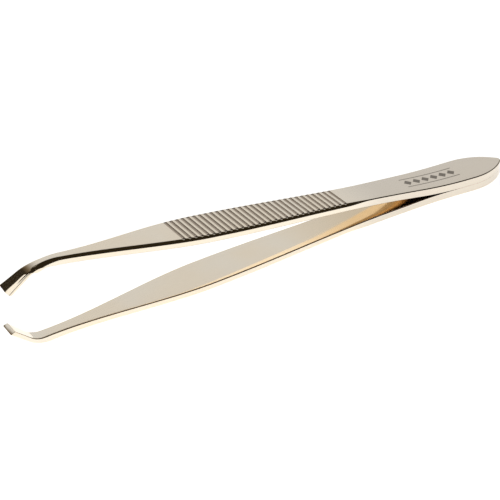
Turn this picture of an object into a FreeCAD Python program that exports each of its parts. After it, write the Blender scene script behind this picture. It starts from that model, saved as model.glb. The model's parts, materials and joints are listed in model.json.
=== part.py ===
"""Slant tweezers with inward claws: two stamped blades joined by weld nuggets at the tail.

The blades are drawn in a design frame where the mid-plane between them is level: a station s
is the distance from the tail's end towards the tips, so x = -s, z = 0 is the plane where the
tails touch, and y runs across the blade. The finished pieces are then laid down on the lower
blade, with the tail's end and the heel of the lower claw on z = 0. Lengths are in millimetres.
"""
import FreeCAD, Part
import math
import os

from FreeCAD import Placement, Rotation, Vector

# ---- driving dimensions: side profile
BLADE_THICKNESS = 1.25
ARM_BEND_STATION = 13.9       # where the blades part
ARM_BEND_RADIUS = 100.0
ARM_ANGLE = 4.65              # each arm's slope away from the mid-plane, degrees
LOWER_CLAW_BEND_STATION = 84.9        # corner of the inner face, before rounding
UPPER_CLAW_BEND_STATION = 84.2
CLAW_THICKNESS = 0.7
CLAW_BEND_RADIUS = 2.0        # inner face
LOWER_HEEL_RADIUS = 6.0       # outer face
UPPER_HEEL_RADIUS = 11.0
TIP_STATION, TIP_HEIGHT = 88.4, 3.04  # inner edge of the claw's end face, from the mid-plane
TIP_FACE_ANGLE = 24.0         # end face against the mid-plane, degrees
TIP_SLANT = 4.0               # end face across the blade, degrees; the -y side is the longer

# ---- driving dimensions: outline seen from above
TAIL_TIP_RADIUS = 0.8
TAIL_STATION, TAIL_HALF_WIDTH = 7.5, 3.54
WAIST_STATION, WAIST_HALF_WIDTH = 27.5, 2.85
BELLY_START, BELLY_END, BELLY_HALF_WIDTH = 54.0, 56.0, 3.68
SHANK_STATION, SHANK_HALF_WIDTH = 82.0, 1.05
CLAW_HALF_WIDTH = 1.55        # at the end of the claw

# ---- driving dimensions: edges, grip and weld
OUTER_EDGE_RADIUS = 0.4
INNER_EDGE_RADIUS = 0.2
GROOVE_COUNT = 30
GROOVE_PITCH = 1.0
GROOVE_FIRST_STATION = 32.25
GROOVE_RADIUS = 0.3
GROOVE_DEPTH = 0.22
NUGGET_STATIONS = (5.5, 9.5)
NUGGET_RADIUS = 1.25
NUGGET_DEPTH = 0.4            # into each blade

# ---- driving dimensions: flexing and lying down
FLEX_STATION = 22.0           # middle of the stretch of each arm that bends as the arms close

CLAW_OVERRUN = 1.2            # spare length that the slanted end cut removes
CUT_SIZE = 12.0


def slope(degrees):
    return math.tan(math.radians(degrees))


def direction(degrees):
    """Unit vector in the side view, leading towards the tips and rising by the angle given."""
    angle = math.radians(degrees)
    return Vector(-math.cos(angle), 0, math.sin(angle))


def outward(degrees):
    """Unit normal of the outer face where the blade rises by the angle given."""
    angle = math.radians(degrees)
    return Vector(math.sin(angle), 0, math.cos(angle))


def crossing(point_a, along_a, point_b, along_b):
    """Where two lines of the side view meet."""
    gap = point_b - point_a
    reach = (gap.x * along_b.z - gap.z * along_b.x) / (along_a.x * along_b.z - along_a.z * along_b.x)
    return point_a + along_a * reach


# ---- corners of a blade's side view, drawn as the upper one
ARM_BEND_INNER = Vector(-ARM_BEND_STATION, 0, 0)
ARM_OUTER = ARM_BEND_INNER + outward(ARM_ANGLE) * BLADE_THICKNESS
ARM_BEND_OUTER = crossing(
    Vector(0, 0, BLADE_THICKNESS), direction(0), ARM_OUTER, direction(ARM_ANGLE)
)
TIP_INNER = Vector(-TIP_STATION, 0, TIP_HEIGHT)
FLEX_AXIS = Vector(-FLEX_STATION, 0, (FLEX_STATION - ARM_BEND_STATION) * slope(ARM_ANGLE))


class Claw:
    """The corners of a claw that leaves its arm at a station and ends at the tip."""

    def __init__(self, bend_station, heel_radius):
        rise = (bend_station - ARM_BEND_STATION) * slope(ARM_ANGLE)
        self.bend = Vector(-bend_station, 0, rise)
        self.angle = -math.degrees(math.atan2(rise - TIP_HEIGHT, TIP_STATION - bend_station))
        self.outer = self.bend + outward(self.angle) * CLAW_THICKNESS
        self.heel = crossing(ARM_OUTER, direction(ARM_ANGLE), self.outer, direction(self.angle))
        self.heel_radius = heel_radius


UPPER_CLAW = Claw(UPPER_CLAW_BEND_STATION, UPPER_HEEL_RADIUS)
LOWER_CLAW = Claw(LOWER_CLAW_BEND_STATION, LOWER_HEEL_RADIUS)


def rounded_path(corners):
    """Edges through a list of (corner, radius), each corner rounded by an arc of its radius."""
    edges = []
    start = corners[0][0]
    for index in range(1, len(corners) - 1):
        corner, radius = corners[index]
        back = (corners[index - 1][0] - corner).normalize()
        ahead = (corners[index + 1][0] - corner).normalize()
        half = back.getAngle(ahead) / 2
        first = corner + back * (radius / math.tan(half))
        last = corner + ahead * (radius / math.tan(half))
        middle = corner + (back + ahead).normalize() * (radius / math.sin(half) - radius)
        edges.append(Part.LineSegment(start, first).toShape())
        edges.append(Part.Arc(first, middle, last).toShape())
        start = last
    edges.append(Part.LineSegment(start, corners[-1][0]).toShape())
    return edges


def side_solid(claw):
    """The side view's shape, far wider than the blade."""
    end_inner = TIP_INNER + direction(claw.angle) * CLAW_OVERRUN
    end_outer = end_inner + outward(claw.angle) * CLAW_THICKNESS
    tail_inner = Vector(0, 0, 0)
    tail_outer = Vector(0, 0, BLADE_THICKNESS)
    inner = rounded_path([
        (tail_inner, 0),
        (ARM_BEND_INNER, ARM_BEND_RADIUS),
        (claw.bend, CLAW_BEND_RADIUS),
        (end_inner, 0),
    ])
    outer = rounded_path([
        (end_outer, 0),
        (claw.heel, claw.heel_radius),
        (ARM_BEND_OUTER, ARM_BEND_RADIUS - BLADE_THICKNESS),
        (tail_outer, 0),
    ])
    end = Part.LineSegment(end_inner, end_outer).toShape()
    tail = Part.LineSegment(tail_outer, tail_inner).toShape()
    face = Part.Face(Part.Wire(inner + [end] + outer + [tail]))
    face.translate(Vector(0, -CUT_SIZE / 2, 0))
    return face.extrude(Vector(0, CUT_SIZE, 0))


def s_curve(start, start_half, end, end_half):
    """A curve that leaves one half-width and reaches the next with no slope at either end."""
    third = (end - start) / 3
    curve = Part.BezierCurve()
    curve.setPoles([
        Vector(-start, start_half, 0),
        Vector(-start - third, start_half, 0),
        Vector(-end + third, end_half, 0),
        Vector(-end, end_half, 0),
    ])
    return curve.toShape()


def tail_arcs():
    """The tail's rounded point, then the arc that swells to the tail's full width."""
    run = TAIL_STATION - TAIL_TIP_RADIUS
    rise = TAIL_HALF_WIDTH - TAIL_TIP_RADIUS
    radius = (run ** 2 + TAIL_HALF_WIDTH ** 2 - TAIL_TIP_RADIUS ** 2) / (2 * rise)
    centre = Vector(-TAIL_STATION, TAIL_HALF_WIDTH - radius, 0)
    tip_centre = Vector(-TAIL_TIP_RADIUS, 0, 0)
    towards = (tip_centre - centre).normalize()
    joint = centre + towards * radius
    half_turn = math.atan2(towards.y, towards.x) / 2
    tip_middle = tip_centre + Vector(math.cos(half_turn), math.sin(half_turn), 0) * TAIL_TIP_RADIUS
    swell = (towards + Vector(0, 1, 0)).normalize()
    point_arc = Part.Arc(Vector(0, 0, 0), tip_middle, joint)
    swell_arc = Part.Arc(
        joint, centre + swell * radius, Vector(-TAIL_STATION, TAIL_HALF_WIDTH, 0)
    )
    return [point_arc.toShape(), swell_arc.toShape()]


def claw_flare():
    """An arc that widens the blade from its shank to the claw's end and past it."""
    run = TIP_STATION - SHANK_STATION
    rise = CLAW_HALF_WIDTH - SHANK_HALF_WIDTH
    radius = (run ** 2 + rise ** 2) / (2 * rise)
    centre = Vector(-SHANK_STATION, SHANK_HALF_WIDTH + radius, 0)
    full_turn = math.asin((run + 2 * CLAW_OVERRUN) / radius)

    def on_arc(turn):
        return centre + Vector(-math.sin(turn), -math.cos(turn), 0) * radius

    return Part.Arc(on_arc(0), on_arc(full_turn / 2), on_arc(full_turn)).toShape(), on_arc(full_turn)


def plan_solid():
    """The outline seen from above, far taller than the blade."""
    flare, end_corner = claw_flare()
    belly_start = Vector(-BELLY_START, BELLY_HALF_WIDTH, 0)
    belly_end = Vector(-BELLY_END, BELLY_HALF_WIDTH, 0)
    half = tail_arcs() + [
        s_curve(TAIL_STATION, TAIL_HALF_WIDTH, WAIST_STATION, WAIST_HALF_WIDTH),
        s_curve(WAIST_STATION, WAIST_HALF_WIDTH, BELLY_START, BELLY_HALF_WIDTH),
        Part.LineSegment(belly_start, belly_end).toShape(),
        s_curve(BELLY_END, BELLY_HALF_WIDTH, SHANK_STATION, SHANK_HALF_WIDTH),
        flare,
    ]
    other_half = [edge.mirror(Vector(0, 0, 0), Vector(0, 1, 0)) for edge in half]
    other_corner = Vector(end_corner.x, -end_corner.y, 0)
    end = Part.LineSegment(end_corner, other_corner).toShape()
    wire = Part.Wire(Part.__sortEdges__(half + [end] + other_half))
    face = Part.Face(wire)
    face.translate(Vector(0, 0, -CUT_SIZE / 2))
    return face.extrude(Vector(0, 0, 2 * CUT_SIZE))


def tip_cut():
    """Everything past the claw's end face."""
    up_face = Vector(-math.cos(math.radians(TIP_FACE_ANGLE)), 0, math.sin(math.radians(TIP_FACE_ANGLE)))
    across = Vector(slope(TIP_SLANT), 1, 0).normalize()
    corners = [
        TIP_INNER + up_face * along + across * aside
        for along, aside in ((-4, -4), (4, -4), (4, 4), (-4, 4), (-4, -4))
    ]
    face = Part.Face(Part.makePolygon(corners))
    normal = up_face.cross(across).normalize()
    if normal.z > 0:
        normal = -normal
    return face.extrude(normal * 3)


def edges_between(blade, walls, faces):
    """Edges of the blade shared by one face of each list."""
    found = []
    for edge in blade.Edges:
        owners = [face for face in blade.Faces if any(edge.isSame(other) for other in face.Edges)]
        if any(walls(face) for face in owners) and any(faces(face) for face in owners):
            found.append(edge)
    return found


def face_normal(face):
    low_u, high_u, low_v, high_v = face.ParameterRange
    return face.normalAt((low_u + high_u) / 2, (low_v + high_v) / 2)


def is_wall(face):
    return abs(face_normal(face).z) < 0.05


def is_outer(face):
    return face_normal(face).z > 0.7 and abs(face_normal(face).y) < 0.05


def is_inner(face):
    return face_normal(face).z < -0.7 and abs(face_normal(face).y) < 0.05


def grooves():
    """The grip's cross grooves, as rods that cut into the outer face."""
    rods = []
    up = outward(ARM_ANGLE)
    for index in range(GROOVE_COUNT):
        station = GROOVE_FIRST_STATION + index * GROOVE_PITCH
        along = (station - ARM_BEND_STATION) / math.cos(math.radians(ARM_ANGLE))
        seat = ARM_OUTER + direction(ARM_ANGLE) * along
        axis = seat + up * (GROOVE_RADIUS - GROOVE_DEPTH)
        rods.append(Part.makeCylinder(
            GROOVE_RADIUS, CUT_SIZE, axis - Vector(0, CUT_SIZE / 2, 0), Vector(0, 1, 0)
        ))
    return rods


def nuggets():
    """The spot welds, half in each blade."""
    return [
        Part.makeCylinder(NUGGET_RADIUS, 2 * NUGGET_DEPTH, Vector(-station, 0, -NUGGET_DEPTH))
        for station in NUGGET_STATIONS
    ]


def blade_with(claw):
    """A whole blade, drawn as the upper one."""
    blade = side_solid(claw).common(plan_solid()).Solids[0]
    blade = blade.makeFillet(OUTER_EDGE_RADIUS, edges_between(blade, is_wall, is_outer))
    blade = blade.makeFillet(INNER_EDGE_RADIUS, edges_between(blade, is_wall, is_inner))
    blade = blade.cut(tip_cut())
    blade = blade.cut(Part.makeCompound(grooves()))
    return blade.cut(Part.makeCompound(nuggets())).Solids[0]


def halves(blade):
    """The blade's tail plate and its arm, cut apart at the middle of the flexing stretch."""
    ahead = Part.makeBox(
        100, CUT_SIZE, 2 * CUT_SIZE, Vector(-FLEX_STATION - 100, -CUT_SIZE / 2, -CUT_SIZE)
    )
    return blade.cut(ahead).Solids[0], blade.common(ahead).Solids[0]


def model():
    """Every piece by name, laid down, and the placement that lays them down."""
    upper_tail, upper_arm = halves(blade_with(UPPER_CLAW))
    lower_tail, lower_arm = halves(blade_with(LOWER_CLAW))
    middle, level = Vector(0, 0, 0), Vector(0, 0, 1)
    pieces = {
        "upper_tail_plate": upper_tail,
        "upper_arm": upper_arm,
        "lower_tail_plate": lower_tail.mirror(middle, level),
        "lower_arm": lower_arm.mirror(middle, level),
        "weld_nuggets": Part.makeCompound(nuggets()),
    }
    tilt = math.degrees(math.atan2(LOWER_CLAW.heel.z - BLADE_THICKNESS, -LOWER_CLAW.heel.x))
    laid = Placement(Vector(0, 0, 0), Rotation(Vector(0, 1, 0), tilt))
    everything = Part.makeCompound(list(pieces.values())).transformShape(laid.toMatrix(), True)
    box = everything.optimalBoundingBox(False, False)
    laid.Base = Vector(-(box.XMin + box.XMax) / 2, -(box.YMin + box.YMax) / 2, -box.ZMin)
    for name, shape in pieces.items():
        pieces[name] = shape.transformShape(laid.toMatrix(), True)
    return pieces, laid


PIECES, LAID = model()

os.makedirs("parts", exist_ok=True)
for node, solid in PIECES.items():
    solid.exportStep("parts/" + node + ".step")

# where the arms' flexing axes lie once the piece is laid down
for joint, side in (("upper_arm_flex", 1), ("lower_arm_flex", -1)):
    axis = LAID.multVec(Vector(FLEX_AXIS.x, 0, FLEX_AXIS.z * side))
    print(joint, round(axis.x, 3), round(axis.y, 3), round(axis.z, 3))
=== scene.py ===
"""Slant tweezers with inward claws, shown on a pale table.

Each blade is one continuous strip from the tail's point to the claw. It is drawn in a design
frame in millimetres: a station s is the distance from the tail's end, x = -s, and z = 0 is the
plane where the tails touch. The two hinge positions give the placement that lays the blades down.
"""
import json
import math

import bmesh
import bpy
from mathutils import Matrix, Vector


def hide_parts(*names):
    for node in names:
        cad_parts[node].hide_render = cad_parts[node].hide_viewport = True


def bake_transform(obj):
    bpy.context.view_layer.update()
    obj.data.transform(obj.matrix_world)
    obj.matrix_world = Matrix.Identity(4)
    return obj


MM = 0.001

# ---- side profile
BLADE_THICKNESS = 1.25
ARM_BEND_STATION = 13.9
ARM_BEND_RADIUS = 100.0
ARM_ANGLE = 4.65
LOWER_CLAW_BEND_STATION = 84.9
UPPER_CLAW_BEND_STATION = 84.2
CLAW_THICKNESS = 0.7
CLAW_BEND_RADIUS = 3.5
LOWER_HEEL_RADIUS = 6.0
UPPER_HEEL_RADIUS = 11.0
TIP_STATION, TIP_HEIGHT = 88.4, 3.04
TIP_FACE_ANGLE = 24.0
TIP_SLANT = 4.0

# ---- outline seen from above
TAIL_TIP_RADIUS = 0.8
TAIL_STATION, TAIL_HALF_WIDTH = 7.5, 3.54
WAIST_STATION, WAIST_HALF_WIDTH = 27.5, 2.85
BELLY_START, BELLY_END, BELLY_HALF_WIDTH = 54.0, 56.0, 3.68
SHANK_STATION, SHANK_HALF_WIDTH = 82.0, 1.05
CLAW_HALF_WIDTH = 1.55

# ---- edges of the outer face as (station, reach across, drop, share of bevel in the shape):
# nearly sharp at the tail and rounded along the arm, most of all on the near side
TAIL_EDGES = (
    (0.0, 0.38, 0.38, 0.0),
    (3.0, 0.2, 0.2, 0.0),
    (22.0, 0.2, 0.2, 0.0),
)
FAR_EDGES = TAIL_EDGES + (
    (30.0, 0.34, 0.34, 0.0),
    (62.0, 0.4, 0.4, 0.0),
    (76.0, 0.75, 0.62, 0.0),
    (82.0, 0.7, 0.6, 0.0),
    (86.0, 0.25, 0.2, 0.0),
)
NEAR_EDGES = TAIL_EDGES + (
    (27.5, 0.22, 0.22, 0.0),
    (32.0, 0.9, 0.56, 0.0),
    (74.0, 0.85, 0.54, 0.0),
    (80.0, 0.62, 0.56, 0.0),
)
PLAIN_NEAR_EDGES = NEAR_EDGES + ((86.0, 0.15, 0.15, 0.0),)
GROUND_NEAR_EDGES = NEAR_EDGES + (    # this edge of the upper claw is ground to a bevel
    (84.2, 0.68, 0.92, 0.0),
    (85.3, 0.28, 0.12, 1.0),
    (87.0, 0.42, 0.18, 1.0),
    (89.0, 0.76, 0.25, 1.0),
)
BEVEL_LIP = 0.12                      # rounding between the bevel and the side
INNER_EDGES = ((14.0, 0.02), (24.0, 0.2), (84.0, 0.2), (88.0, 0.12))
TIP_BEVEL = 0.04

# ---- grip and flexing
GROOVE_COUNT = 30
GROOVE_PITCH = 1.0
GROOVE_FIRST_STATION = 32.25
GROOVE_RADIUS = 0.34
GROOVE_DEPTH = 0.14
FLEX_STATION = 22.0

# ---- etched ornament on the tail: a row of lozenges between two fine lines
ETCH_START, ETCH_END = 9.2, 19.4
LOZENGE_PITCH = 1.7
LOZENGE_HALF_LENGTH = 0.72
LOZENGE_HALF_WIDTH = 0.85
ETCH_LINE_OFFSET = 1.35
ETCH_LINE_HALF_WIDTH = 0.1

# ---- mesh fineness
TIP_ARC_STEPS = 8
SWELL_STEPS = 20
FLAT_STEP = 0.6
BEND_STEPS = 14
ARM_STEP = 0.7
GROOVE_STEPS = 6
HEEL_STEPS = 26
CLAW_STEPS = 10
OUTER_ARC_STEPS = 8
INNER_ARC_STEPS = 4
SIDE_STEPS = 3
FACE_STEPS = 6
SHARP_ANGLE = 35.0
MERGE_DISTANCE = 1e-6                 # metres
SHORTEST_EDGE = 1e-7                  # metres

# ---- camera: distances in metres, lens in millimetres, angles in degrees
CAMERA_AZIMUTH = -28.64
CAMERA_ELEVATION = 30.84
CAMERA_ROLL = -4.55
CAMERA_DISTANCE = 0.28496
CAMERA_LENS = 133.05
CAMERA_AIM = Vector((-0.00357, -0.00003, 0.00245))
CAMERA_NEAR, CAMERA_FAR = 0.01, 10

# ---- light: panels as (strength, edges); each edge is a soft limit in the direction of its
# normal (azimuth from +Y towards +X, elevation), from dark at one cosine to full at the other
BACK_PANEL = (0.69, (
    (92.0, 0.0, -0.2, 0.1),
    (-22.0, 0.0, -0.1, 0.18),
    (35.0, -48.0, -0.22, -0.10),
))
LEFT_PANEL = (1.05, (
    (-60.0, 53.0, 0.84, 0.93),
))
STUDIO_DARK = 0.022
STUDIO_NEUTRAL = 0.5                  # brightness from which the warm tint is gone
STUDIO_WARMTH = (1.0, 0.74, 0.4)
WHITE = (1.0, 1.0, 1.0)


# ======================================================================== camera
def make_camera():
    azimuth, elevation = math.radians(CAMERA_AZIMUTH), math.radians(CAMERA_ELEVATION)
    back = Vector((
        math.sin(azimuth) * math.cos(elevation),
        -math.cos(azimuth) * math.cos(elevation),
        math.sin(elevation),
    ))
    camera = bpy.data.objects.new("camera", bpy.data.cameras.new("camera"))
    camera.data.lens = CAMERA_LENS
    camera.data.clip_start = CAMERA_NEAR
    camera.data.clip_end = CAMERA_FAR
    camera.location = CAMERA_AIM + back * CAMERA_DISTANCE
    level = (-back).to_track_quat("-Z", "Y").to_matrix()
    camera.rotation_euler = (level @ Matrix.Rotation(math.radians(CAMERA_ROLL), 3, "Z")).to_euler()
    bpy.context.scene.collection.objects.link(camera)
    bpy.context.scene.camera = camera


# ======================================================================== side profile
def slope(degrees):
    return math.tan(math.radians(degrees))


def direction(degrees):
    """Unit vector in the side view, leading towards the tips and rising by the angle given."""
    return Vector((-math.cos(math.radians(degrees)), 0, math.sin(math.radians(degrees))))


def outward(degrees):
    """Unit normal of the outer face where the blade rises by the angle given."""
    return Vector((math.sin(math.radians(degrees)), 0, math.cos(math.radians(degrees))))


def crossing(point_a, along_a, point_b, along_b):
    """Where two lines of the side view meet."""
    gap = point_b - point_a
    reach = (gap.x * along_b.z - gap.z * along_b.x) / (along_a.x * along_b.z - along_a.z * along_b.x)
    return point_a + along_a * reach


ARM_ALONG, ARM_OUT = direction(ARM_ANGLE), outward(ARM_ANGLE)
ARM_BEND_INNER = Vector((-ARM_BEND_STATION, 0, 0))
ARM_OUTER = ARM_BEND_INNER + ARM_OUT * BLADE_THICKNESS
TIP_INNER = Vector((-TIP_STATION, 0, TIP_HEIGHT))


class Claw:
    """The corners of a claw that leaves its arm at a station and ends at the tip."""

    def __init__(self, bend_station, heel_radius):
        rise = (bend_station - ARM_BEND_STATION) * slope(ARM_ANGLE)
        self.bend = Vector((-bend_station, 0, rise))
        self.angle = -math.degrees(math.atan2(rise - TIP_HEIGHT, TIP_STATION - bend_station))
        self.along = direction(self.angle)
        self.outer = self.bend + outward(self.angle) * CLAW_THICKNESS
        self.heel = crossing(ARM_OUTER, ARM_ALONG, self.outer, self.along)
        self.heel_radius = heel_radius
        self.tip_outer = crossing(TIP_INNER, direction(TIP_FACE_ANGLE), self.outer, self.along)


UPPER_CLAW = Claw(UPPER_CLAW_BEND_STATION, UPPER_HEEL_RADIUS)
LOWER_CLAW = Claw(LOWER_CLAW_BEND_STATION, LOWER_HEEL_RADIUS)


# ======================================================================== outline and edges
def smooth(share):
    share = min(1.0, max(0.0, share))
    return share * share * (3 - 2 * share)


def half_width(station):
    """Half-width of the outline from the tail's widest station to the claw's end."""
    if station < WAIST_STATION:
        share = (station - TAIL_STATION) / (WAIST_STATION - TAIL_STATION)
        return TAIL_HALF_WIDTH + (WAIST_HALF_WIDTH - TAIL_HALF_WIDTH) * smooth(share)
    if station < BELLY_END:
        share = (station - WAIST_STATION) / (BELLY_START - WAIST_STATION)
        return WAIST_HALF_WIDTH + (BELLY_HALF_WIDTH - WAIST_HALF_WIDTH) * smooth(share)
    if station < SHANK_STATION:
        share = (station - BELLY_END) / (SHANK_STATION - BELLY_END)
        return BELLY_HALF_WIDTH + (SHANK_HALF_WIDTH - BELLY_HALF_WIDTH) * smooth(share)
    run, rise = TIP_STATION - SHANK_STATION, CLAW_HALF_WIDTH - SHANK_HALF_WIDTH
    radius = (run ** 2 + rise ** 2) / (2 * rise)
    return SHANK_HALF_WIDTH + radius - math.sqrt(radius ** 2 - (station - SHANK_STATION) ** 2)


def edge_at(edges, station):
    """The values of a table of edges at a station."""
    before = edges[0]
    for after in edges[1:]:
        if station < after[0]:
            share = smooth((station - before[0]) / (after[0] - before[0]))
            return [low + (high - low) * share for low, high in zip(before[1:], after[1:])]
        before = after
    return before[1:]


def groove_depth(offset):
    """Depth of a groove at a distance from its middle."""
    return max(0.0, math.sqrt(GROOVE_RADIUS ** 2 - offset ** 2) - (GROOVE_RADIUS - GROOVE_DEPTH))


class Section:
    """One cross-section of the upper blade, from a point of its inner face to one of its outer face."""

    def __init__(
        self, inner, outer, depth=0.0, half=None, inward=(0.0, -1.0), slant=Vector(), inset=0.0
    ):
        self.inner, self.outer = inner, outer
        self.thickness = (outer - inner).length
        self.depth = depth          # of the groove here
        self.half = half            # outline's half-width, where the outline runs along an arc
        self.inward = inward        # outline's inward normal as (along the stations, across)
        self.slant = slant          # shift for each millimetre across, from the tip's slant
        self.inset = inset          # bevel at the end of the claw

    def point(self, side, height, edge_inset):
        """A point on a side, at a height above the inner face, moved in from the outline."""
        spot = self.inner.lerp(self.outer, height / self.thickness)
        half = self.half if self.half is not None else half_width(-spot.x)
        move = edge_inset + self.inset
        spot.x -= self.inward[0] * move
        spot.y = side * (half + self.inward[1] * move)
        return spot - self.slant * spot.y

    def side_profile(self, edges):
        """The side from the outer face down to the inner one, as (height, inset) pairs."""
        across, drop, bevel = edge_at(edges, -self.outer.x)
        lip = min(BEVEL_LIP, across)
        profile = []
        for step in range(OUTER_ARC_STEPS + 1):
            turn = math.pi / 2 * step / OUTER_ARC_STEPS
            round_drop, round_inset = drop * (1 - math.cos(turn)), across * (1 - math.sin(turn))
            if turn < math.pi / 4:
                run = turn / (math.pi / 4)
                flat_drop, flat_inset = drop * run, across + (lip - across) * run
            else:
                late = 2 * turn - math.pi / 2
                flat_drop, flat_inset = drop + lip * (1 - math.cos(late)), lip * (1 - math.sin(late))
            fall = round_drop + (flat_drop - round_drop) * bevel
            profile.append((self.thickness - fall, round_inset + (flat_inset - round_inset) * bevel))
        top = profile[-1][0]
        inner, = edge_at(INNER_EDGES, -self.inner.x)
        for step in range(1, SIDE_STEPS):
            profile.append((top + (inner - top) * step / SIDE_STEPS, 0.0))
        for step in range(INNER_ARC_STEPS + 1):
            turn = math.pi / 2 * (1 - step / INNER_ARC_STEPS)
            profile.append((inner * (1 - math.cos(turn)), inner * (1 - math.sin(turn))))
        return profile

    def side_points(self, side, edges):
        """A side's points from the outer face down, as (spot, groove, edge and inside shares)."""
        ceiling = self.thickness - self.depth
        points = []
        for height, inset in self.side_profile(edges):
            groove = max(0.0, height - ceiling) / GROOVE_DEPTH
            rounded = 1.0 if 0 < height < self.thickness and inset > 0 else 0.0
            inside = 1.0 if height == 0 else 0.0
            points.append((self.point(side, min(height, ceiling), inset), groove, rounded, inside))
        return points

    def ring(self, near_edges):
        """Every point round the section; the near side's outer edge may differ from the far one's."""
        far = self.side_points(1, FAR_EDGES)
        near = self.side_points(-1, near_edges)
        ring = list(far)
        ring += [
            (far[-1][0].lerp(near[-1][0], step / FACE_STEPS), 0.0, 0.0, 1.0)
            for step in range(1, FACE_STEPS)
        ]
        ring += reversed(near)
        ring += [
            (near[0][0].lerp(far[0][0], step / FACE_STEPS), self.depth / GROOVE_DEPTH, 0.0, 0.0)
            for step in range(1, FACE_STEPS)
        ]
        return ring


# ======================================================================== sections of a blade
def tail_sections():
    """Sections round the tail's point, where the outline follows two arcs."""
    run, rise = TAIL_STATION - TAIL_TIP_RADIUS, TAIL_HALF_WIDTH - TAIL_TIP_RADIUS
    swell = (run ** 2 + TAIL_HALF_WIDTH ** 2 - TAIL_TIP_RADIUS ** 2) / (2 * rise)
    centre = (TAIL_STATION, TAIL_HALF_WIDTH - swell)
    joint = math.atan2(-centre[1], centre[0] - TAIL_TIP_RADIUS)
    spots = []
    for step in range(TIP_ARC_STEPS):
        turn = joint * step / TIP_ARC_STEPS
        spots.append((
            TAIL_TIP_RADIUS * (1 - math.cos(turn)), TAIL_TIP_RADIUS * math.sin(turn), turn
        ))
    for step in range(SWELL_STEPS):
        turn = joint + (math.pi / 2 - joint) * step / SWELL_STEPS
        spots.append((
            centre[0] - swell * math.cos(turn), centre[1] + swell * math.sin(turn), turn
        ))
    return [
        Section(
            Vector((-station, 0, 0)), Vector((-station, 0, BLADE_THICKNESS)),
            half=half, inward=(math.cos(turn), -math.sin(turn)),
        )
        for station, half, turn in spots
    ]


def spread(start, end, step):
    """Evenly spaced values from start up to end, without the end."""
    count = max(1, round(abs(end - start) / step))
    return [start + (end - start) * index / count for index in range(count)]


def groove_offsets():
    """Where a groove is sampled, from its tip-side lip to its tail-side lip."""
    lip = math.acos((GROOVE_RADIUS - GROOVE_DEPTH) / GROOVE_RADIUS)
    return [
        GROOVE_RADIUS * math.sin(lip * step / GROOVE_STEPS)
        for step in range(-GROOVE_STEPS, GROOVE_STEPS + 1)
    ]


def arm_sections(claw):
    """Sections from the tail's widest station to the heel of the claw."""
    tangent = ARM_BEND_RADIUS * math.tan(math.radians(ARM_ANGLE) / 2)
    bend_start = ARM_BEND_STATION - tangent
    sections = [
        Section(Vector((-station, 0, 0)), Vector((-station, 0, BLADE_THICKNESS)))
        for station in spread(TAIL_STATION, bend_start, FLAT_STEP)
    ]
    centre = Vector((-bend_start, 0, ARM_BEND_RADIUS))
    for index in range(BEND_STEPS):
        rise = ARM_ANGLE * index / BEND_STEPS
        inner = centre - outward(rise) * ARM_BEND_RADIUS
        sections.append(Section(inner, inner + outward(rise) * BLADE_THICKNESS))

    heel_tangent = claw.heel_radius * math.tan(math.radians(ARM_ANGLE - claw.angle) / 2)
    last = (claw.heel - ARM_OUTER).dot(ARM_ALONG) - heel_tangent
    first_groove = GROOVE_FIRST_STATION - ARM_BEND_STATION
    middles = [
        (first_groove + index * GROOVE_PITCH) / math.cos(math.radians(ARM_ANGLE))
        for index in range(GROOVE_COUNT)
    ]
    reach = GROOVE_PITCH / 2
    places = [(along, 0.0) for along in spread(tangent, middles[0] - reach, ARM_STEP)]
    for middle in middles:
        places += [(middle + offset, groove_depth(offset)) for offset in groove_offsets()]
    places += [(along, 0.0) for along in spread(middles[-1] + reach, last, ARM_STEP)]
    for along, depth in places:
        inner = ARM_BEND_INNER + ARM_ALONG * along
        sections.append(Section(inner, inner + ARM_OUT * BLADE_THICKNESS, depth))
    return sections


def inner_path(claw, start, end):
    """The inner face from square under one outer point to square under another, by share."""
    turn = math.radians(ARM_ANGLE - claw.angle)
    tangent = CLAW_BEND_RADIUS * math.tan(turn / 2)
    centre = claw.bend - ARM_ALONG * tangent - ARM_OUT * CLAW_BEND_RADIUS
    arc = CLAW_BEND_RADIUS * turn
    before = (claw.bend - start).dot(ARM_ALONG) - tangent
    whole = before + arc + (end - claw.bend).dot(claw.along) - tangent

    def inner_at(share):
        run = whole * share - before
        if run < 0:
            return claw.bend + ARM_ALONG * (run - tangent)
        if run < arc:
            return centre + outward(ARM_ANGLE - math.degrees(run / CLAW_BEND_RADIUS)) * CLAW_BEND_RADIUS
        return claw.bend + claw.along * (tangent + run - arc)

    return inner_at


def claw_sections(claw):
    """Sections round the heel and down to the claw's end."""
    turn = ARM_ANGLE - claw.angle
    tangent = claw.heel_radius * math.tan(math.radians(turn) / 2)
    arc_start = claw.heel - ARM_ALONG * tangent
    arc_end = claw.heel + claw.along * tangent
    centre = arc_start - ARM_OUT * claw.heel_radius
    inner_at = inner_path(claw, arc_start, arc_end)
    sections = []
    for index in range(HEEL_STEPS):
        share = index / HEEL_STEPS
        outer = centre + outward(ARM_ANGLE - turn * share) * claw.heel_radius
        sections.append(Section(inner_at(share), outer))
    inner_start = inner_at(1.0)
    bevel = claw.along * TIP_BEVEL
    slant = claw.along * slope(TIP_SLANT)
    for index in range(CLAW_STEPS + 1):
        share = index / CLAW_STEPS
        sections.append(Section(
            inner_start.lerp(TIP_INNER - bevel, share), arc_end.lerp(claw.tip_outer - bevel, share),
            slant=slant * smooth(share),
        ))
    across = (claw.tip_outer - TIP_INNER).normalized() * TIP_BEVEL
    sections.append(Section(
        TIP_INNER + across, claw.tip_outer - across, slant=slant, inset=TIP_BEVEL
    ))
    return sections


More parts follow.
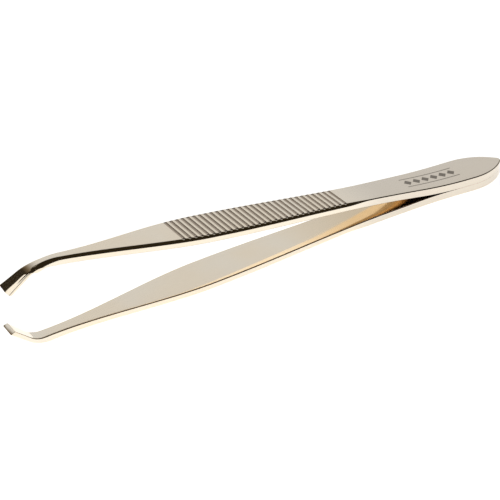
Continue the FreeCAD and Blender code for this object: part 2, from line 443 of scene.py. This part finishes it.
# ======================================================================== blade meshes
def lying_placement(joints):
    """Design frame to row frame, in millimetres, from the two hinge axes."""
    places = {joint["name"]: Vector(joint["pos_m"]) / MM for joint in joints}
    upper, lower = places["upper_arm_flex"], places["lower_arm_flex"]
    rise = (upper - lower).normalized()
    along = Vector((rise.z, 0, -rise.x))
    placed = Matrix((along, Vector((0, 1, 0)), rise)).transposed().to_4x4()
    placed.translation = (upper + lower) / 2 + along * FLEX_STATION
    return placed


def strip_faces(rows, size, mirror):
    """Quads along the strip, and the claw's end face."""
    faces = []
    for row in range(rows - 1):
        for column in range(size):
            after = (column + 1) % size
            quad = (
                row * size + column, row * size + after,
                (row + 1) * size + after, (row + 1) * size + column,
            )
            faces.append(quad[::mirror])
    end = range((rows - 1) * size, rows * size)
    faces.append(tuple(end)[::mirror])
    return faces


def tidy_mesh(mesh):
    work = bmesh.new()
    work.from_mesh(mesh)
    bmesh.ops.remove_doubles(work, verts=work.verts, dist=MERGE_DISTANCE)
    bmesh.ops.dissolve_degenerate(work, edges=work.edges, dist=SHORTEST_EDGE)
    bmesh.ops.recalc_face_normals(work, faces=work.faces)
    work.to_mesh(mesh)
    work.free()
    mesh.shade_smooth()
    mesh.set_sharp_from_angle(angle=math.radians(SHARP_ANGLE))


def blade_mesh(name, mirror, placed):
    """The whole blade; mirror is 1 for the upper blade and -1 for the lower."""
    claw, near_edges = UPPER_CLAW, GROUND_NEAR_EDGES
    if mirror == -1:
        claw, near_edges = LOWER_CLAW, PLAIN_NEAR_EDGES
    sections = tail_sections() + arm_sections(claw) + claw_sections(claw)
    rings = [section.ring(near_edges) for section in sections]
    points = [point for ring in rings for point in ring]
    spots = [Vector((point[0].x, point[0].y, point[0].z * mirror)) for point in points]
    mesh = bpy.data.meshes.new(name)
    laid = [placed @ spot * MM for spot in spots]
    mesh.from_pydata(laid, [], strip_faces(len(rings), len(rings[0]), mirror))
    for index, share in enumerate(("groove", "edge", "inside"), start=1):
        values = [point[index] for point in points]
        mesh.attributes.new(share, "FLOAT", "POINT").data.foreach_set("value", values)
    drawn = [value for spot in spots for value in spot]
    mesh.attributes.new("drawn", "FLOAT_VECTOR", "POINT").data.foreach_set("vector", drawn)
    tidy_mesh(mesh)
    return mesh


def make_blade(name, mirror, placed, cad_nodes, material):
    mesh = blade_mesh(name, mirror, placed)
    mesh.materials.append(material)
    blade = bpy.data.objects.new(name, mesh)
    bpy.context.scene.collection.objects.link(blade)
    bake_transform(blade)
    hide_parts(*cad_nodes)


# ======================================================================== shader helpers
MIX_COLOUR_INPUTS = (6, 7)            # sockets of a mix node set to colours
MIX_COLOUR_OUTPUT = 2


class Nodes:
    """Adds nodes to a tree, linking or setting each input."""

    def __init__(self, tree):
        self.tree = tree

    def add(self, kind, inputs=(), **settings):
        node = self.tree.nodes.new(kind)
        for name, value in settings.items():
            setattr(node, name, value)
        for key, value in dict(inputs).items():
            if isinstance(value, bpy.types.NodeSocket):
                self.tree.links.new(value, node.inputs[key])
            else:
                node.inputs[key].default_value = value
        return node

    def math(self, operation, *values, clamp=False):
        return self.add(
            "ShaderNodeMath", enumerate(values), operation=operation, use_clamp=clamp
        ).outputs[0]

    def ramp(self, value, low, high, to_low=0.0, to_high=1.0):
        """A smooth step of a value from one level to another."""
        return self.add("ShaderNodeMapRange", {
            "Value": value, "From Min": low, "From Max": high, "To Min": to_low, "To Max": to_high,
        }, interpolation_type="SMOOTHSTEP").outputs["Result"]

    def noise(self, place, scale, detail=2.0):
        return self.add(
            "ShaderNodeTexNoise", {"Vector": place, "Scale": scale, "Detail": detail}
        ).outputs[0]

    def mix(self, factor, first, second):
        node = self.add("ShaderNodeMix", {"Factor": factor}, data_type="RGBA")
        for index, colour in zip(MIX_COLOUR_INPUTS, (first, second)):
            if isinstance(colour, bpy.types.NodeSocket):
                self.tree.links.new(colour, node.inputs[index])
            else:
                node.inputs[index].default_value = (*colour, 1.0)
        return node.outputs[MIX_COLOUR_OUTPUT]

    def stretched(self, vector, stretch):
        """A vector scaled differently along its three axes."""
        return self.add(
            "ShaderNodeVectorMath", {0: vector, 1: stretch}, operation="MULTIPLY"
        ).outputs[0]


def new_material(name):
    material = bpy.data.materials.new(name)
    material.use_nodes = True
    return Nodes(material.node_tree), material.node_tree.nodes["Principled BSDF"], material


# ======================================================================== materials
PLATING_GOLD = (0.93, 0.815, 0.645)
PLATING_PALE = (0.915, 0.845, 0.725)
# painted shade: a darker warm gold on the inner faces near the crotch, where the blades shade each
# other
CROTCH_PAINTED_SHADE = (0.8, 0.66, 0.47)
STREAK_SHADE = (0.7, 0.62, 0.5)
TAIL_SHADE = (0.72, 0.655, 0.57)
# painted shade in the grooves, darkening their walls and floors
GROOVE_PAINTED_SHADE = (0.5, 0.415, 0.33)
# painted shade: near-black where the grooves notch the rounded edges
NOTCH_PAINTED_SHADE = (0.07, 0.05, 0.035)
ETCH_SHADE = (0.22, 0.19, 0.155)

# ---- where the tints come in: ranges of a noise, of x in millimetres or of a share
CLOUD_SCALE = 0.09
CLOUD_RANGE, CLOUD_PALENESS = (0.35, 0.7), (0.1, 0.75)
EDGE_PALENESS = 0.3
GRAIN_STRETCH = (0.12, 9.0, 9.0)
GRAIN_DETAIL = 4.0
STREAK_RANGE, STREAK_SHARES = (0.3, 0.75), (0.0, 0.1)
TAIL_RANGE, TAIL_SHARES = (-33.0, -24.0), (0.0, 0.7)
CROTCH_SHADE_RANGE = (-44.0, -26.0)
GROOVE_RANGE = (0.05, 0.75)
NOTCH_RANGE = (0.1, 0.5)
ETCH_SHARE = 0.9
ETCH_BLUR = 0.02
LOZENGE_BLUR = 0.05
ETCHED_HEIGHTS = (BLADE_THICKNESS - 0.04, BLADE_THICKNESS - 0.01)

# ---- roughness and relief of the plating
SATIN_RANGE, SATIN_ROUGHNESS = (0.25, 0.8), (0.085, 0.155)
GROOVE_ROUGHNESS = 0.22               # added to the satin's
ETCH_ROUGHNESS = 0.3                  # added to the satin's
GRAIN_RELIEF = 0.02
ETCH_RELIEF = 0.15
BUMP_STRENGTH = 0.25
BUMP_DISTANCE = 0.0001                # metres

# ---- weld steel
WELD_PALE, WELD_DARK = (0.5, 0.49, 0.47), (0.34, 0.3, 0.28)
WELD_SCALE = 2500.0
WELD_DETAIL = 4.0
WELD_RANGE, WELD_ROUGHNESS = (0.3, 0.7), (0.35, 0.6)


def etched(nodes, drawn):
    """1 inside the ornament on the outer face of the upper tail, 0 elsewhere."""
    split = nodes.add("ShaderNodeSeparateXYZ", {0: drawn})
    station = nodes.math("MULTIPLY", split.outputs[0], -1.0)
    across = nodes.math("ABSOLUTE", split.outputs[1])
    phase = nodes.math("PINGPONG", nodes.math("SUBTRACT", station, ETCH_START), LOZENGE_PITCH / 2)
    from_centre = nodes.math("SUBTRACT", LOZENGE_PITCH / 2, phase)
    lozenge = nodes.math(
        "ADD",
        nodes.math("DIVIDE", from_centre, LOZENGE_HALF_LENGTH),
        nodes.math("DIVIDE", across, LOZENGE_HALF_WIDTH),
    )
    inside = nodes.ramp(lozenge, 1 + LOZENGE_BLUR, 1 - LOZENGE_BLUR)
    off_line = nodes.math("ABSOLUTE", nodes.math("SUBTRACT", across, ETCH_LINE_OFFSET))
    line = nodes.ramp(off_line, ETCH_LINE_HALF_WIDTH + ETCH_BLUR, ETCH_LINE_HALF_WIDTH - ETCH_BLUR)
    pattern = nodes.math("MAXIMUM", inside, line)
    begun = nodes.ramp(station, ETCH_START - ETCH_BLUR, ETCH_START + ETCH_BLUR)
    ended = nodes.ramp(station, ETCH_END + ETCH_BLUR, ETCH_END - ETCH_BLUR)
    upper_face = nodes.ramp(split.outputs[2], *ETCHED_HEIGHTS)
    within = nodes.math("MULTIPLY", nodes.math("MULTIPLY", begun, ended), upper_face)
    return nodes.math("MULTIPLY", pattern, within)


def plated_steel():
    """Polished pale gold plating with a lengthwise grain, a darker etching and painted shade in the
    grooves.
    """
    nodes, shader, material = new_material("pale_gold_plating")
    drawn = nodes.add("ShaderNodeAttribute", attribute_name="drawn").outputs["Vector"]
    groove = nodes.add("ShaderNodeAttribute", attribute_name="groove").outputs["Fac"]
    edge = nodes.add("ShaderNodeAttribute", attribute_name="edge").outputs["Fac"]
    inside = nodes.add("ShaderNodeAttribute", attribute_name="inside").outputs["Fac"]
    along = nodes.add("ShaderNodeSeparateXYZ", {0: drawn}).outputs[0]
    grain = nodes.noise(nodes.stretched(drawn, GRAIN_STRETCH), 1.0, GRAIN_DETAIL)
    cloud = nodes.noise(drawn, CLOUD_SCALE)
    etch = etched(nodes, drawn)

    paleness = nodes.ramp(cloud, *CLOUD_RANGE, *CLOUD_PALENESS)
    edge_paleness = nodes.math("MULTIPLY", edge, EDGE_PALENESS)
    colour = nodes.mix(
        nodes.math("MAXIMUM", paleness, edge_paleness), PLATING_GOLD, PLATING_PALE
    )
    colour = nodes.mix(nodes.ramp(grain, *STREAK_RANGE, *STREAK_SHARES), colour, STREAK_SHADE)
    colour = nodes.mix(nodes.ramp(along, *TAIL_RANGE, *TAIL_SHARES), colour, TAIL_SHADE)
    # painted shade on the inner faces, coming in towards the crotch
    crotch = nodes.math("MULTIPLY", nodes.ramp(along, *CROTCH_SHADE_RANGE), inside)
    colour = nodes.mix(crotch, colour, CROTCH_PAINTED_SHADE)
    # painted shade, deepening with the groove
    depth = nodes.ramp(groove, *GROOVE_RANGE)
    colour = nodes.mix(depth, colour, GROOVE_PAINTED_SHADE)
    # painted shade where a groove runs out through the rounded edge
    notch_shade = nodes.ramp(nodes.math("MULTIPLY", groove, edge), *NOTCH_RANGE)
    colour = nodes.mix(notch_shade, colour, NOTCH_PAINTED_SHADE)
    colour = nodes.mix(nodes.math("MULTIPLY", etch, ETCH_SHARE), colour, ETCH_SHADE)
    nodes.tree.links.new(colour, shader.inputs["Base Color"])
    shader.inputs["Metallic"].default_value = 1.0

    roughness = nodes.ramp(grain, *SATIN_RANGE, *SATIN_ROUGHNESS)
    for share, added in ((depth, GROOVE_ROUGHNESS), (etch, ETCH_ROUGHNESS)):
        roughness = nodes.math("ADD", roughness, nodes.math("MULTIPLY", share, added))
    nodes.tree.links.new(roughness, shader.inputs["Roughness"])

    raised = nodes.math("MULTIPLY", grain, GRAIN_RELIEF)
    sunk = nodes.math("MULTIPLY", etch, ETCH_RELIEF)
    bump = nodes.add("ShaderNodeBump", {
        "Height": nodes.math("SUBTRACT", raised, sunk),
        "Strength": BUMP_STRENGTH,
        "Distance": BUMP_DISTANCE,
    })
    nodes.tree.links.new(bump.outputs["Normal"], shader.inputs["Normal"])
    return material


def weld_steel():
    """Bare fused steel, mottled by heat."""
    nodes, shader, material = new_material("weld_steel")
    place = nodes.add("ShaderNodeTexCoord").outputs["Object"]
    mottle = nodes.noise(place, WELD_SCALE, WELD_DETAIL)
    colour = nodes.mix(nodes.ramp(mottle, *WELD_RANGE), WELD_PALE, WELD_DARK)
    roughness = nodes.ramp(mottle, *WELD_RANGE, *WELD_ROUGHNESS)
    nodes.tree.links.new(colour, shader.inputs["Base Color"])
    nodes.tree.links.new(roughness, shader.inputs["Roughness"])
    shader.inputs["Metallic"].default_value = 1.0
    return material


def finish_welds(material):
    welds = bpy.data.objects["weld_nuggets"]
    welds.data.materials.clear()
    welds.data.materials.append(material)


# ======================================================================== table and light
TABLE_SIZE = 4.0                      # metres
TABLE_SHADES = ((0.8, 0.8, 0.8), (0.78, 0.78, 0.775))
TABLE_FIBRE_SCALE = 900.0
TABLE_FIBRE_DETAIL = 3.0
TABLE_FIBRE_RANGE = (0.3, 0.7)
TABLE_ROUGHNESS = 0.9
TABLE_GLOW = 0.9


def make_table():
    bpy.ops.mesh.primitive_plane_add(size=TABLE_SIZE, location=(0, 0, 0))
    table = bpy.context.object
    table.name = "table"
    nodes, shader, material = new_material("pale_table")
    place = nodes.add("ShaderNodeTexCoord").outputs["Object"]
    fibre = nodes.noise(place, TABLE_FIBRE_SCALE, TABLE_FIBRE_DETAIL)
    colour = nodes.mix(nodes.ramp(fibre, *TABLE_FIBRE_RANGE), *TABLE_SHADES)
    nodes.tree.links.new(colour, shader.inputs["Base Color"])
    shader.inputs["Roughness"].default_value = TABLE_ROUGHNESS
    shader.inputs["Specular IOR Level"].default_value = 0.0
    shader.inputs["Emission Color"].default_value = (*WHITE, 1.0)
    shader.inputs["Emission Strength"].default_value = TABLE_GLOW
    table.data.materials.append(material)


def panel_light(nodes, ray, panel):
    """A panel's brightness in the direction of a ray."""
    strength, limits = panel
    light = strength
    for azimuth, elevation, dark, full in limits:
        turn, rise = math.radians(azimuth), math.radians(elevation)
        normal = (
            math.sin(turn) * math.cos(rise), math.cos(turn) * math.cos(rise), math.sin(rise)
        )
        cosine = nodes.add("ShaderNodeVectorMath", {0: ray, 1: normal}, operation="DOT_PRODUCT")
        light = nodes.math("MULTIPLY", nodes.ramp(cosine.outputs["Value"], dark, full), light)
    return light


def make_world():
    """A dark studio with two soft panels for the polished faces to reflect."""
    world = bpy.data.worlds.new("studio")
    bpy.context.scene.world = world
    world.use_nodes = True
    world.node_tree.nodes.clear()
    nodes = Nodes(world.node_tree)
    ray = nodes.add("ShaderNodeTexCoord").outputs["Generated"]
    light = STUDIO_DARK
    for panel in (BACK_PANEL, LEFT_PANEL):
        light = nodes.math("ADD", panel_light(nodes, ray, panel), light)
    colour = nodes.mix(nodes.ramp(light, STUDIO_DARK, STUDIO_NEUTRAL), STUDIO_WARMTH, WHITE)
    background = nodes.add("ShaderNodeBackground", {"Color": colour, "Strength": light})
    nodes.add("ShaderNodeOutputWorld", {"Surface": background.outputs[0]})


with open("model.json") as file:
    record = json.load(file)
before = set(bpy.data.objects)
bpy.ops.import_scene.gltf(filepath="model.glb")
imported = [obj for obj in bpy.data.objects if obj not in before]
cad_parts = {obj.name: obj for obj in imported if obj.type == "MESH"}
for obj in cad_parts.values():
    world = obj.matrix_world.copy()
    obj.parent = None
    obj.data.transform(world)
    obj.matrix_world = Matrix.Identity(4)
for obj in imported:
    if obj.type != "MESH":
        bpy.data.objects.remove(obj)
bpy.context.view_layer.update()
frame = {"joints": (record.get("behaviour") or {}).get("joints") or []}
make_camera()
plating_material = plated_steel()
laid_down = lying_placement(frame["joints"])
make_blade(
    "upper_blade", 1, laid_down, ("upper_tail_plate", "upper_arm"), plating_material
)
make_blade(
    "lower_blade", -1, laid_down, ("lower_tail_plate", "lower_arm"), plating_material
)
finish_welds(weld_steel())
make_table()
make_world()
bpy.context.scene.view_settings.view_transform = "Standard"
